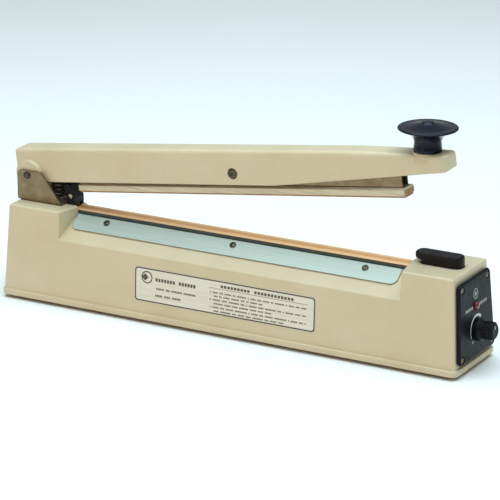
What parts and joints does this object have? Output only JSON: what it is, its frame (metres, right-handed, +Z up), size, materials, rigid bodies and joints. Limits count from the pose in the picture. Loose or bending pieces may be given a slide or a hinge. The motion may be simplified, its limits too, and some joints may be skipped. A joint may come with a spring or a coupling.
{
  "type": "impulse heat sealer",
  "caption": "Hand-operated tabletop impulse heat sealer with a cast base, a sprung closing arm carrying a rocking pressure bar, an end control panel with a timer knob and a switch pad.",
  "frame": {"origin": "on the table, under the middle of the sealer's box", "axes": "+X along the sealer towards the control panel, -Y is the front with the label, +Z up"},
  "size_m": [0.4668, 0.0786, 0.2115],
  "materials": {
    "cream_enamel": "cream stoving enamel on die-cast aluminium",
    "zinc_plated_steel": "zinc plated and passivated sheet steel",
    "anodised_aluminium": "satin anodised",
    "screw_steel": "nickel plated steel",
    "brass": "machined",
    "nichrome_band": "rolled band",
    "phenolic_laminate": "sawn and sanded",
    "ptfe_glass_cloth": "woven glass cloth coated with PTFE",
    "silicone_rubber": "moulded",
    "black_plastic": "moulded, satin gloss",
    "blue_black_bakelite": "compression moulded and polished",
    "red_lens": "clear moulded acrylic",
    "silver_label": "printed foil",
    "black_rubber": "moulded",
    "circuit_board": "solder mask",
    "relay_case": "moulded",
    "core_steel": "varnished stamped laminations",
    "winding_tape": "polyester tape"
  },
  "bodies": {
    "base": {"base_housing": "cream_enamel", "bottom_plate": "zinc_plated_steel", "hinge_bracket": "zinc_plated_steel", "switch_bracket": "zinc_plated_steel", "clamp_plate_front": "anodised_aluminium", "clamp_plate_rear": "anodised_aluminium", "foot_screw_front_left": "screw_steel", "foot_screw_front_right": "screw_steel", "foot_screw_rear_right": "screw_steel", "foot_screw_rear_left": "screw_steel", "plate_screw_front_1": "screw_steel", "plate_screw_front_2": "screw_steel", "plate_screw_front_3": "screw_steel", "plate_screw_rear_1": "screw_steel", "plate_screw_rear_2": "screw_steel", "plate_screw_rear_3": "screw_steel", "bracket_screw_1": "screw_steel", "bracket_screw_2": "screw_steel", "cap_screw": "screw_steel", "hinge_pin": "screw_steel", "pin_clip": "screw_steel", "panel_screw_1": "screw_steel", "panel_screw_2": "screw_steel", "panel_screw_3": "screw_steel", "panel_screw_4": "screw_steel", "transformer_screw_1": "screw_steel", "transformer_screw_2": "screw_steel", "timer_potentiometer": "screw_steel", "return_spring": "screw_steel", "fixed_terminal": "brass", "heating_element": "nichrome_band", "element_bar": "phenolic_laminate", "ptfe_cloth": "ptfe_glass_cloth", "terminal_cap": "black_plastic", "control_panel": "black_plastic", "microswitch": "black_plastic", "pilot_lamp": "red_lens", "name_label": "silver_label", "foot_front_left": "black_rubber", "foot_front_right": "black_rubber", "foot_rear_right": "black_rubber", "foot_rear_left": "black_rubber", "cord_bushing": "black_rubber", "timer_board": "circuit_board", "relay": "relay_case", "transformer_core": "core_steel", "transformer_winding": "winding_tape"},
    "closing_arm": {"arm_casting": "cream_enamel", "knob": "blue_black_bakelite", "knob_bolt": "screw_steel", "rocker_pin": "screw_steel", "rocker_nut": "screw_steel"},
    "pressure_bar": {"rocker_channel": "zinc_plated_steel", "rubber_holder": "anodised_aluminium", "silicone_strip": "silicone_rubber"},
    "timer_dial": {"timer_knob": "black_plastic"},
    "cycle_switch": {"switch_pad": "black_plastic"},
    "switch_button": {"microswitch_plunger": "red_lens"},
    "element_tensioner": {"tension_terminal": "brass"}
  },
  "joints": [
    {"name": "arm_hinge", "type": "hinge", "parent": "base", "child": "closing_arm", "pos_m": [-0.21625, 0, 0.11], "axis": [0, 1, 0], "range_deg": [0, 10], "stiffness_Nm_per_rad": 6, "springref_deg": -20.05, "deforming": ["return_spring"]},
    {"name": "bar_rock", "type": "hinge", "parent": "closing_arm", "child": "pressure_bar", "pos_m": [-0.00938, 0, 0.13986], "axis": [0, 1, 0], "range_deg": [-2.5, 0]},
    {"name": "timer_turn", "type": "hinge", "parent": "base", "child": "timer_dial", "pos_m": [0.21738, 0, 0.03479], "axis": [0.9982, 0, 0.0606], "range_deg": [0, 280]},
    {"name": "pad_press", "type": "slide", "parent": "base", "child": "cycle_switch", "axis": [0, 0, 1], "range_m": [-0.003, 0], "stiffness_N_per_m": 800, "springref_m": 0.0015},
    {"name": "button_press", "type": "slide", "parent": "base", "child": "switch_button", "axis": [0, 0, 1], "range_m": [-0.003, 0]},
    {"name": "element_tension", "type": "slide", "parent": "base", "child": "element_tensioner", "axis": [1, 0, 0], "range_m": [-0.0012, 0.0012], "stiffness_N_per_m": 2000}
  ],
  "couplings": [
    {"joint": "bar_rock", "follows": "arm_hinge", "ratio": -0.25},
    {"joint": "button_press", "follows": "pad_press", "ratio": 1}
  ]
}
